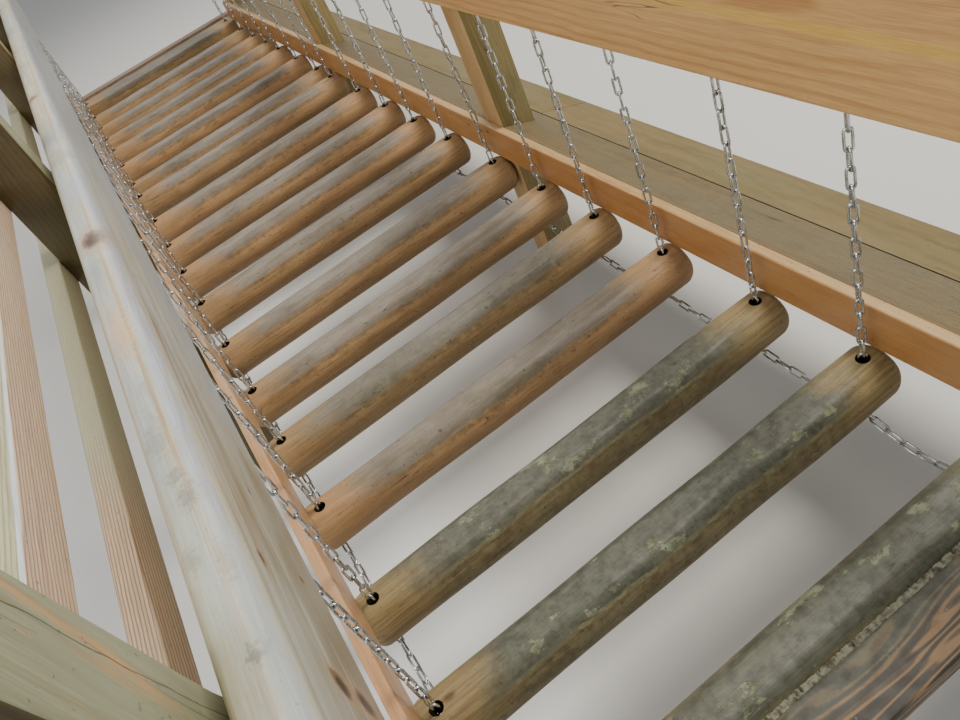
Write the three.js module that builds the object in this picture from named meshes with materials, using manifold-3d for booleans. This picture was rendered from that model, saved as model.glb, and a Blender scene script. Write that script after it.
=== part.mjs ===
import * as THREE from "three";
import { mergeVertices } from "three/addons/utils/BufferGeometryUtils.js";
import Module from "manifold-3d";

const wasm = await Module();
wasm.setup();

// A log footbridge: round logs hang on chains from two handrail beams on square posts.
// Sizes are in millimetres. X runs across the bridge, Y along it and Z up.
// In this file X is measured from the middle of the walkway, Y from the near ends of
// the long timbers and Z from the walking surface on the logs.

const GAP = 0.3;
const GROUND_Z = -560;

// Hanging logs
const LOG_STATIONS = [
  608, 932, 1290, 1622, 1929, 2268, 2641, 2970, 3290,
  3631, 4029, 4254, 4620, 4967, 5240, 5537, 5852, 6290,
];
const LOG_RADIUS = 68;
const LOG_HALF_LENGTH = 655;
const LOG_NOSE = 30;
// How far in and down the middle corner of a log's nose lies, as a share of the nose.
const NOSE_CORNER = 0.3;
const LOG_SIDES = 16;
const LAST_LOG_HALF_WIDTH = 100;
const LAST_LOG_ARRIS = 10;
const LAST_LOG_STEPS = 14;

// Chains, drawn as plain slim rods of the chain's overall thickness
const CHAIN_X = 600;
const CHAIN_RADIUS = 7;
const CHAIN_SIDES = 10;
const CHAIN_HOLE_RADIUS = 16.5;
const CHAIN_HOLE_DEPTH = 45;
const CHAIN_HOLE_SIDES = 12;
const EYE_STEPS = 3;
const LEFT_TIE_CHAIN_X = -614;
const RIGHT_TIE_CHAIN_X = 579;
const TIE_OVERRUN = 115;

// Handrail beams
const RAIL_INNER_X = 560;
const RAIL_OUTER_X = 633;
const RAIL_BOTTOM_Z = 664;
const RAIL_TOP_Z = 904;
const RAIL_ARRIS = 28;
const RAIL_ARRIS_STEPS = 3;
const RAIL_LENGTH = 6400;

// Side girders
const GIRDER_INNER_X = 633;
const GIRDER_BOTTOM_Z = 10;
const GIRDER_TOP_Z = 137;
const GIRDER_ARRIS = 6;
const GIRDER_LENGTH = 6215;

// Posts. The left ones lean, by this share of their height, so that their tops come nearer.
const POST_INNER_X = 662;
const POST_SIZE = 130;
const POST_TOP_Z = 1150;
const POST_TOP_BEVEL = 12;
const LEFT_POST_STARTS = [134, 2040, 3960, 5985];
const LEFT_POST_LEAN = 0.11;
const LEFT_POST_START_Z = 860;
const RIGHT_POST_STARTS = [150, 2195, 4132, 6085];
const SHOULDER_SEAT_TOP_Z = 745;
const SHOULDER_SEAT_BOTTOM_Z = 700;
const SHOULDER_COVE_HEIGHT = 105;
const COVE_STEPS = 5;

// Sloping kerb planks along the right side
const KERB_SLOPE = THREE.MathUtils.degToRad(20.5);
const KERB_THICKNESS = 40;
const INNER_KERB_WIDTH = 200;
const KERB_GAP = 5;
const OUTER_KERB_WIDTH = 220;
const KERB_BUTT_Y = 2260;
const BUTT_GAP = 4;
const NOTCH_CLEARANCE = 2;
const BRACKET_THICKNESS = 100;
const BRACKET_DEPTH = 110;
const BRACKET_TIP_DEPTH = 60;
const BRACKET_TIP_X = 1040;

// Rails on the outboard faces of the left posts
const SIDE_RAIL_LOW = { bottom: 547, top: 633, depth: 53 };
const SIDE_RAIL_HIGH = { bottom: 813, top: 902, depth: 60 };
const SIDE_RAIL_BEVEL = 8;

// Thresholds
const SILL_LOG_Y = 252;
const SILL_LOG_HALF_LENGTH = 655;
const SILL_LOG_NOSE = 6;
const NEAR_PLANK = { start: 60, end: 178, thickness: 50, halfLength: 655 };
const FAR_BOARD = { start: 6480, end: 6560, depth: 150, halfLength: 700 };
const STAKE = { size: 70, x: 520, top: -20, bite: 1 };

const MATERIALS = {
  logWood: { color: 0xa5835a, roughness: 0.85, metalness: 0 },
  leftRailWood: { color: 0xc9c2b2, roughness: 0.85, metalness: 0 },
  rightRailWood: { color: 0xc4905a, roughness: 0.75, metalness: 0 },
  girderWood: { color: 0xa8713f, roughness: 0.8, metalness: 0 },
  postWood: { color: 0x9c8560, roughness: 0.85, metalness: 0 },
  plankWood: { color: 0x9a8b6e, roughness: 0.9, metalness: 0 },
  chainSteel: { color: 0xb9bcbd, roughness: 0.35, metalness: 1 },
};

function namedMesh(name, geometry, materialName) {
  const mesh = new THREE.Mesh(geometry, new THREE.MeshStandardMaterial(MATERIALS[materialName]));
  mesh.name = name;
  return mesh;
}

const MERGE_DISTANCE = 0.001;

function toSolid(geometry) {
  const bare = geometry.clone();
  bare.deleteAttribute("normal");
  bare.deleteAttribute("uv");
  const merged = mergeVertices(bare, MERGE_DISTANCE);
  return new wasm.Manifold(new wasm.Mesh({
    numProp: 3,
    vertProperties: new Float32Array(merged.attributes.position.array),
    triVerts: new Uint32Array(merged.index.array),
  }));
}

function toGeometry(solid) {
  const mesh = solid.getMesh();
  const geometry = new THREE.BufferGeometry();
  geometry.setAttribute("position", new THREE.BufferAttribute(mesh.vertProperties, 3));
  geometry.setIndex(new THREE.BufferAttribute(mesh.triVerts, 1));
  geometry.computeVertexNormals();
  return geometry;
}

function boxBetween(low, high) {
  const size = high.map((value, i) => value - low[i]);
  const middle = high.map((value, i) => (value + low[i]) / 2);
  return new THREE.BoxGeometry(...size).translate(...middle);
}

// An outline given as [x, z] pairs, run along Y from start to end.
function alongY(outline, start, end) {
  const shape = new THREE.Shape(outline.map(([x, z]) => new THREE.Vector2(x, z)));
  const geometry = new THREE.ExtrudeGeometry(shape, {
    depth: end - start,
    bevelEnabled: false,
  });
  return geometry.rotateX(Math.PI / 2).translate(0, end, 0);
}

// An outline given as [y, z] pairs, run along X from -halfLength to halfLength.
function alongX(outline, halfLength) {
  const shape = new THREE.Shape(outline.map(([y, z]) => new THREE.Vector2(y, z)));
  const geometry = new THREE.ExtrudeGeometry(shape, {
    depth: 2 * halfLength,
    bevelEnabled: false,
  });
  return geometry.rotateX(Math.PI / 2).rotateZ(Math.PI / 2).translate(-halfLength, 0, 0);
}

function mirrored(outline, side) {
  return outline.map(([x, z]) => [side * x, z]);
}

function arc(centre, radii, fromDeg, toDeg, steps) {
  const points = [];
  for (let i = 0; i <= steps; i += 1) {
    const angle = THREE.MathUtils.degToRad(fromDeg + ((toDeg - fromDeg) * i) / steps);
    const a = centre[0] + radii[0] * Math.cos(angle);
    const b = centre[1] + radii[1] * Math.sin(angle);
    points.push([a, b]);
  }
  return points;
}

// A round log lying along X with its axis at the given height and bull-nosed ends.
function roundLog(halfLength, nose, z) {
  const shoulder = halfLength - nose;
  const profile = [
    [0, -halfLength],
    [LOG_RADIUS - nose, -halfLength],
    [LOG_RADIUS - nose * NOSE_CORNER, -halfLength + nose * NOSE_CORNER],
    [LOG_RADIUS, -shoulder],
    [LOG_RADIUS, shoulder],
    [LOG_RADIUS - nose * NOSE_CORNER, halfLength - nose * NOSE_CORNER],
    [LOG_RADIUS - nose, halfLength],
    [0, halfLength],
  ].map(([r, y]) => new THREE.Vector2(r, y));
  return new THREE.LatheGeometry(profile, LOG_SIDES).rotateZ(-Math.PI / 2).translate(0, 0, z);
}

// The last log is broad and hewn flat on top, with a round underside of the same depth.
function flatToppedLog() {
  const depth = 2 * LOG_RADIUS;
  const edge = LAST_LOG_ARRIS;
  const half = LAST_LOG_HALF_WIDTH;
  const radius = (half ** 2 + (depth - edge) ** 2) / (2 * (depth - edge));
  const centreZ = radius - depth;
  const rise = THREE.MathUtils.radToDeg(Math.asin((-edge - centreZ) / radius));
  const underside = arc([0, centreZ], [radius, radius], 180 - rise, 360 + rise, LAST_LOG_STEPS);
  return alongX([...underside, [half - edge, 0], [edge - half, 0]], LOG_HALF_LENGTH);
}

// One hanging chain, from inside the log up to its eye under the handrail.
// The round top is centred on the line that the log swings about.
const HINGE_Z = RAIL_BOTTOM_Z - GAP - CHAIN_RADIUS;

function hangingChain(x) {
  const profile = [
    [0, -LOG_RADIUS],
    [CHAIN_RADIUS, -LOG_RADIUS],
    ...arc([0, HINGE_Z], [CHAIN_RADIUS, CHAIN_RADIUS], 0, 90, EYE_STEPS).slice(0, -1),
    [0, HINGE_Z + CHAIN_RADIUS],
  ].map(([r, y]) => new THREE.Vector2(r, y));
  return new THREE.LatheGeometry(profile, CHAIN_SIDES).rotateX(Math.PI / 2).translate(x, 0, 0);
}

// The drilled hole that takes the chain's last links, open at the log's top.
function chainHole(x) {
  const height = 2 * CHAIN_HOLE_DEPTH;
  const hole = new THREE.CylinderGeometry(
    CHAIN_HOLE_RADIUS, CHAIN_HOLE_RADIUS, height, CHAIN_HOLE_SIDES);
  return hole.rotateX(Math.PI / 2).translate(x, 0, 0);
}

function hungLogGeometry(isLast) {
  const body = isLast ? flatToppedLog() : roundLog(LOG_HALF_LENGTH, LOG_NOSE, -LOG_RADIUS);
  let solid = toSolid(body);
  for (const x of [-CHAIN_X, CHAIN_X]) {
    solid = solid.subtract(toSolid(chainHole(x))).add(toSolid(hangingChain(x)));
  }
  return toGeometry(solid);
}

function addHungLogs(bridge) {
  LOG_STATIONS.forEach((y, i) => {
    const isLast = i === LOG_STATIONS.length - 1;
    const name = `log_${String(i + 1).padStart(2, "0")}`;
    const log = namedMesh(name, hungLogGeometry(isLast), "logWood");
    log.position.y = y;
    bridge.add(log);
  });
}

function railOutline(side) {
  const left = RAIL_INNER_X + RAIL_ARRIS;
  const right = RAIL_OUTER_X - RAIL_ARRIS;
  const shoulderZ = RAIL_TOP_Z - RAIL_ARRIS;
  const radii = [RAIL_ARRIS, RAIL_ARRIS];
  return mirrored([
    [RAIL_INNER_X, RAIL_BOTTOM_Z],
    [RAIL_OUTER_X, RAIL_BOTTOM_Z],
    ...arc([right, shoulderZ], radii, 0, 90, RAIL_ARRIS_STEPS),
    ...arc([left, shoulderZ], radii, 90, 180, RAIL_ARRIS_STEPS),
  ], side);
}

function girderOutline(side) {
  const outer = POST_INNER_X - GAP;
  return mirrored([
    [GIRDER_INNER_X, GIRDER_BOTTOM_Z],
    [outer, GIRDER_BOTTOM_Z],
    [outer, GIRDER_TOP_Z],
    [GIRDER_INNER_X + GIRDER_ARRIS, GIRDER_TOP_Z],
    [GIRDER_INNER_X, GIRDER_TOP_Z - GIRDER_ARRIS],
  ], side);
}

// The inboard edge of a post swells in two coves to a seat against the handrail.
function postOutline(side) {
  const outer = POST_INNER_X + POST_SIZE;
  const seatX = RAIL_OUTER_X + GAP;
  const radii = [POST_INNER_X - seatX, SHOULDER_COVE_HEIGHT];
  const upperCove = arc([seatX, SHOULDER_SEAT_TOP_Z + SHOULDER_COVE_HEIGHT], radii,
    0, -90, COVE_STEPS);
  const lowerCove = arc([seatX, SHOULDER_SEAT_BOTTOM_Z - SHOULDER_COVE_HEIGHT], radii,
    90, 0, COVE_STEPS);
  return mirrored([
    [POST_INNER_X, GROUND_Z],
    [outer, GROUND_Z],
    [outer, POST_TOP_Z - POST_TOP_BEVEL],
    [outer - POST_TOP_BEVEL, POST_TOP_Z],
    [POST_INNER_X + POST_TOP_BEVEL, POST_TOP_Z],
    [POST_INNER_X, POST_TOP_Z - POST_TOP_BEVEL],
    ...upperCove,
    ...lowerCove,
  ], side);
}

// Slides each level of a piece along Y, so that it leans and its ends stay level.
function leanAlongY(geometry, lean, fixedZ) {
  const slide = new THREE.Matrix4().set(
    1, 0, 0, 0,
    0, 1, -lean, lean * fixedZ,
    0, 0, 1, 0,
    0, 0, 0, 1);
  return geometry.applyMatrix4(slide);
}

function addFrame(bridge) {
  for (const [label, side, starts, lean] of [
    ["left", -1, LEFT_POST_STARTS, LEFT_POST_LEAN],
    ["right", 1, RIGHT_POST_STARTS, 0],
  ]) {
    const rail = alongY(railOutline(side), 0, RAIL_LENGTH);
    bridge.add(namedMesh(`${label}_handrail`, rail, `${label}RailWood`));
    const girder = alongY(girderOutline(side), 0, GIRDER_LENGTH);
    bridge.add(namedMesh(`${label}_girder`, girder, "girderWood"));
    starts.forEach((start, i) => {
      const upright = alongY(postOutline(side), start, start + POST_SIZE);
      const post = leanAlongY(upright, lean, LEFT_POST_START_Z);
      bridge.add(namedMesh(`${label}_post_${i + 1}`, post, "postWood"));
    });
  }
}

// A point on the kerb, by its distance down the slope and its depth below the top.
function kerbPoint(along, below) {
  const sin = Math.sin(KERB_SLOPE);
  const cos = Math.cos(KERB_SLOPE);
  return [
    POST_INNER_X + along * cos - below * sin,
    GIRDER_TOP_Z - along * sin - below * cos,
  ];
}

function kerbUndersideZ(x) {
  return GIRDER_TOP_Z - (x - POST_INNER_X) * Math.tan(KERB_SLOPE)
    - KERB_THICKNESS / Math.cos(KERB_SLOPE);
}

function addKerb(bridge) {
  const innerPlank = alongY([
    [POST_INNER_X, GIRDER_TOP_Z],
    [POST_INNER_X, kerbUndersideZ(POST_INNER_X)],
    kerbPoint(INNER_KERB_WIDTH, KERB_THICKNESS),
    kerbPoint(INNER_KERB_WIDTH, 0),
  ], 0, GIRDER_LENGTH);
  let notched = toSolid(innerPlank);
  for (const start of RIGHT_POST_STARTS) {
    const end = start + POST_SIZE;
    const outer = POST_INNER_X + POST_SIZE + NOTCH_CLEARANCE;
    // The last notch runs out through the plank's end, where the post is flush with it.
    const farSide = end >= GIRDER_LENGTH ? end + POST_SIZE : end + NOTCH_CLEARANCE;
    const notch = boxBetween(
      [GIRDER_INNER_X, start - NOTCH_CLEARANCE, GIRDER_BOTTOM_Z],
      [outer, farSide, RAIL_BOTTOM_Z]);
    notched = notched.subtract(toSolid(notch));
  }
  bridge.add(namedMesh("inner_kerb_plank", toGeometry(notched), "plankWood"));

  const outerStart = INNER_KERB_WIDTH + KERB_GAP;
  const outerOutline = [
    kerbPoint(outerStart, 0),
    kerbPoint(outerStart, KERB_THICKNESS),
    kerbPoint(outerStart + OUTER_KERB_WIDTH, KERB_THICKNESS),
    kerbPoint(outerStart + OUTER_KERB_WIDTH, 0),
  ];
  const nearPiece = alongY(outerOutline, 0, KERB_BUTT_Y - BUTT_GAP / 2);
  const farPiece = alongY(outerOutline, KERB_BUTT_Y + BUTT_GAP / 2, GIRDER_LENGTH);
  bridge.add(namedMesh("outer_kerb_plank_near", nearPiece, "plankWood"));
  bridge.add(namedMesh("outer_kerb_plank_far", farPiece, "plankWood"));
}

function addKerbBrackets(bridge) {
  const innerX = POST_INNER_X + POST_SIZE + GAP;
  const innerZ = kerbUndersideZ(innerX) - GAP;
  const tipZ = kerbUndersideZ(BRACKET_TIP_X) - GAP;
  const outline = [
    [innerX, innerZ - BRACKET_DEPTH],
    [BRACKET_TIP_X, tipZ - BRACKET_TIP_DEPTH],
    [BRACKET_TIP_X, tipZ],
    [innerX, innerZ],
  ];
  RIGHT_POST_STARTS.forEach((start, i) => {
    const from = start + (POST_SIZE - BRACKET_THICKNESS) / 2;
    const bracket = alongY(outline, from, from + BRACKET_THICKNESS);
    bridge.add(namedMesh(`kerb_bracket_${i + 1}`, bracket, "postWood"));
  });
}

function addSideRails(bridge) {
  const inner = POST_INNER_X + POST_SIZE + GAP;
  for (const [name, rail] of [["side_rail_low", SIDE_RAIL_LOW], ["side_rail_high", SIDE_RAIL_HIGH]]) {
    const outer = inner + rail.depth;
    const outline = mirrored([
      [inner, rail.bottom],
      [outer - SIDE_RAIL_BEVEL, rail.bottom],
      [outer, rail.bottom + SIDE_RAIL_BEVEL],
      [outer, rail.top - SIDE_RAIL_BEVEL],
      [outer - SIDE_RAIL_BEVEL, rail.top],
      [inner, rail.top],
    ], -1);
    bridge.add(namedMesh(name, alongY(outline, 0, GIRDER_LENGTH), "plankWood"));
  }
}

// The sill log and the near plank are held up against the undersides of the girders.
const SILL_TOP_Z = GIRDER_BOTTOM_Z - GAP;

function addThresholds(bridge) {
  const sill = roundLog(SILL_LOG_HALF_LENGTH, SILL_LOG_NOSE, SILL_TOP_Z - LOG_RADIUS);
  const sillLog = namedMesh("near_sill_log", sill, "logWood");
  sillLog.position.y = SILL_LOG_Y;
  bridge.add(sillLog);

  const plank = boxBetween(
    [-NEAR_PLANK.halfLength, NEAR_PLANK.start, SILL_TOP_Z - NEAR_PLANK.thickness],
    [NEAR_PLANK.halfLength, NEAR_PLANK.end, SILL_TOP_Z]);
  bridge.add(namedMesh("near_threshold_plank", plank, "plankWood"));

  // The far edge board stands on two stakes of its own.
  let board = toSolid(boxBetween(
    [-FAR_BOARD.halfLength, FAR_BOARD.start, -FAR_BOARD.depth],
    [FAR_BOARD.halfLength, FAR_BOARD.end, 0]));
  for (const x of [-STAKE.x, STAKE.x]) {
    const stake = boxBetween(
      [x - STAKE.size / 2, FAR_BOARD.end - STAKE.bite, GROUND_Z],
      [x + STAKE.size / 2, FAR_BOARD.end + STAKE.size, STAKE.top]);
    board = board.add(toSolid(stake));
  }
  bridge.add(namedMesh("far_threshold_board", toGeometry(board), "plankWood"));
}

// Tie chains run straight along the undersides of the logs and a little past the outer two.
const TIE_Z = -2 * LOG_RADIUS - GAP - CHAIN_RADIUS;
// The end ties lie along the inboard sides of the tie chains' ends.
const END_TIE_ASIDE = 2 * CHAIN_RADIUS + GAP;
const END_TIE_LANDING = 30;
const END_TIE_LAP = 45;
const END_TIE_STEPS = 12;

function chainAlong(points) {
  const outline = arc([0, 0], [CHAIN_RADIUS, CHAIN_RADIUS], 0, 360, CHAIN_SIDES).slice(0, -1);
  const shape = new THREE.Shape(outline.map(([a, b]) => new THREE.Vector2(a, b)));
  const corners = points.map((p) => new THREE.Vector3(...p));
  const path = new THREE.CurvePath();
  for (let i = 1; i < corners.length; i += 1) {
    path.add(new THREE.LineCurve3(corners[i - 1], corners[i]));
  }
  return new THREE.ExtrudeGeometry(shape, {
    steps: END_TIE_STEPS,
    extrudePath: path,
    bevelEnabled: false,
  });
}

function addTieChains(bridge) {
  const first = LOG_STATIONS[0];
  const last = LOG_STATIONS[LOG_STATIONS.length - 1];
  const length = last - first + 2 * TIE_OVERRUN;
  const nearEnd = first - TIE_OVERRUN;
  const farEnd = last + TIE_OVERRUN;
  const sillBottomZ = SILL_TOP_Z - 2 * LOG_RADIUS;
  for (const [label, tieX] of [["left", LEFT_TIE_CHAIN_X], ["right", RIGHT_TIE_CHAIN_X]]) {
    const tie = new THREE.CylinderGeometry(CHAIN_RADIUS, CHAIN_RADIUS, length, CHAIN_SIDES);
    tie.translate(tieX, (first + last) / 2, TIE_Z);
    bridge.add(namedMesh(`${label}_tie_chain`, tie, "chainSteel"));

    const x = tieX - Math.sign(tieX) * END_TIE_ASIDE;
    const nearTopZ = sillBottomZ - GAP - CHAIN_RADIUS;
    const nearTie = chainAlong([
      [x, SILL_LOG_Y - END_TIE_LANDING, nearTopZ],
      [x, SILL_LOG_Y + END_TIE_LANDING, nearTopZ],
      [x, nearEnd - END_TIE_LANDING, TIE_Z],
      [x, nearEnd + END_TIE_LAP, TIE_Z],
    ]);
    bridge.add(namedMesh(`${label}_near_end_tie`, nearTie, "chainSteel"));

    const farTopZ = -FAR_BOARD.depth + 2 * CHAIN_RADIUS;
    const farTie = chainAlong([
      [x, FAR_BOARD.start - GAP, farTopZ],
      [x, FAR_BOARD.start - END_TIE_LANDING, farTopZ],
      [x, farEnd + END_TIE_LANDING, TIE_Z],
      [x, farEnd - END_TIE_LAP, TIE_Z],
    ]);
    bridge.add(namedMesh(`${label}_far_end_tie`, farTie, "chainSteel"));
  }
}

const bridge = new THREE.Group();
addFrame(bridge);
addKerb(bridge);
addKerbBrackets(bridge);
addSideRails(bridge);
addHungLogs(bridge);
addThresholds(bridge);
addTieChains(bridge);

// The origin goes to the middle of the bridge's outline, on the ground.
bridge.updateMatrixWorld(true);
const outline = new THREE.Box3().setFromObject(bridge);
const middle = outline.getCenter(new THREE.Vector3());
bridge.position.set(-middle.x, -middle.y, -outline.min.z);

export default bridge;
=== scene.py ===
import math

import bmesh
import bpy
import numpy as np
from mathutils import Matrix, Vector


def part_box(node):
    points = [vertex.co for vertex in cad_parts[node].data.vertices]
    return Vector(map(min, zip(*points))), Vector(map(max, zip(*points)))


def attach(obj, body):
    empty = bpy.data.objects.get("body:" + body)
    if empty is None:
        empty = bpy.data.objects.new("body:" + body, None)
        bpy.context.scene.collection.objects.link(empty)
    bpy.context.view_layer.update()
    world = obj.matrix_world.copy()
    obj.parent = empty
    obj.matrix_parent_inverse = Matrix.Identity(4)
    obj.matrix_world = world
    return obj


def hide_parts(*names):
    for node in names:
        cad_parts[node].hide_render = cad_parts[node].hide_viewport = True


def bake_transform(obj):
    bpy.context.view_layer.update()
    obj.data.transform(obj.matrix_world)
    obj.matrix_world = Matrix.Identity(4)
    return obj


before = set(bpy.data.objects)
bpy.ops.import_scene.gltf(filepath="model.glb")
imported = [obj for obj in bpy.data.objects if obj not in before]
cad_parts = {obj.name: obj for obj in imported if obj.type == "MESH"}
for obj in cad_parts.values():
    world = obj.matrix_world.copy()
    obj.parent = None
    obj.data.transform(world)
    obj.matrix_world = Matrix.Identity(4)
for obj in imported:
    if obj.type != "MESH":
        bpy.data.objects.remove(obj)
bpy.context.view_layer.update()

# Places on the bridge are given in metres from the middle of the walkway (x), from the
# near ends of the long timbers (y) and from the walking surface on the logs (z).
GIRDER_BOTTOM = 0.010
RAIL_LOW, RAIL_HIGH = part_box("left_handrail")[0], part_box("right_handrail")[1]
ORIGIN = Vector((
    (RAIL_LOW.x + RAIL_HIGH.x) / 2,
    RAIL_LOW.y,
    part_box("left_girder")[0].z - GIRDER_BOTTOM,
))
GROUND = -ORIGIN.z

# Timber sizes
RAIL_INNER, RAIL_OUTER = 0.560, 0.633
RAIL_BOTTOM, RAIL_TOP = 0.664, 0.904
RAIL_LENGTH = 6.400
RAIL_ARRIS = 0.030
GIRDER_INNER, GIRDER_OUTER = 0.633, 0.6617
GIRDER_TOP = 0.137
GIRDER_LENGTH = 6.215
POST_INNER, POST_SIZE = 0.662, 0.130
POST_TOP = 1.150
LEFT_POST_LEAN, LEAN_LEVEL = 0.11, 0.860
SHOULDER_TOP, SHOULDER_BOTTOM, COVE_HEIGHT = 0.745, 0.700, 0.105
COVE_STEPS = 10
# Timbers that rest on each other are this far apart.
SEAT_GAP = 0.0003
KERB_SLOPE = math.radians(20.5)
KERB_THICKNESS = 0.040
INNER_KERB_WIDTH, KERB_GAP, OUTER_KERB_WIDTH = 0.200, 0.005, 0.220
KERB_BUTT = 2.260
BRACKET_ROOT, BRACKET_TIP = 0.110, 0.060
# Fine grooves run along the inner plank; the shift lines up the material's painted groove shade
# with them.
GROOVE_MARGIN, GROOVE_SIZE, GROOVE_DEPTH = 0.012, 0.009, 0.0012
GROOVED_WIDTH = INNER_KERB_WIDTH - 2 * GROOVE_MARGIN
GROOVE_COUNT = int(GROOVED_WIDTH / GROOVE_SIZE)
RIB_SHIFT = (-(ORIGIN.x + POST_INNER) * math.cos(KERB_SLOPE)
             + (ORIGIN.z + GIRDER_TOP) * math.sin(KERB_SLOPE) - GROOVE_MARGIN)

# Logs and chains
LOG_COUNT = 18
LOG_RADIUS = 0.068
LOG_HALF_LENGTH = 0.655
CHAIN_X = 0.600
TIE_X = {"left": -0.614, "right": 0.579}
TIE_LEVEL = -2 * LOG_RADIUS - 0.0125
TIE_SAG = 0.016
HOLE_RADIUS = 0.0165
HOLE_DEPTH = 0.050
WIRE_RADIUS = 0.0033
LINK_PITCH = 0.042
LINK_END_RADIUS = 0.0078
CHAIN_LINKS = 16
CHAIN_TOP = 0.643

# The camera, solved from the photograph: place, axes and lens
CAMERA_PLACE = (-0.394, -0.300, 1.465)
CAMERA_RIGHT = Vector((0.79408, -0.49208, -0.35678))
CAMERA_DOWN = Vector((-0.58345, -0.45260, -0.67435))
CAMERA_FORWARD = Vector((0.17035, 0.74365, -0.64650))
SENSOR_WIDTH = 36.0
FOCAL_PIXELS = 792.775
PHOTO_WIDTH = 960


def at(x, y, z):
    """A place on the bridge as a point of the scene."""
    return ORIGIN + Vector((x, y, z))


def bridge_box(name):
    """The two corners of a solid's box as places on the bridge."""
    return [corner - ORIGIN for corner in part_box(name)]


def log_station(index):
    low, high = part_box(f"log_{index:02d}")
    return (low.y + high.y) / 2 - ORIGIN.y


STATIONS = [log_station(i) for i in range(1, LOG_COUNT + 1)]


def srgb(red, green, blue):
    """An 8-bit colour as the linear colour that nodes take."""
    def linear(value):
        value /= 255
        return value / 12.92 if value <= 0.04045 else ((value + 0.055) / 1.055) ** 2.4
    return (linear(red), linear(green), linear(blue), 1.0)


# Materials

AXES = {"X": 0, "Y": 1, "Z": 2}
# Length of one wave of the wave texture at a scale of 1
WAVE_PERIOD = math.pi / 10
WHITE = (255, 255, 255)


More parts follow.
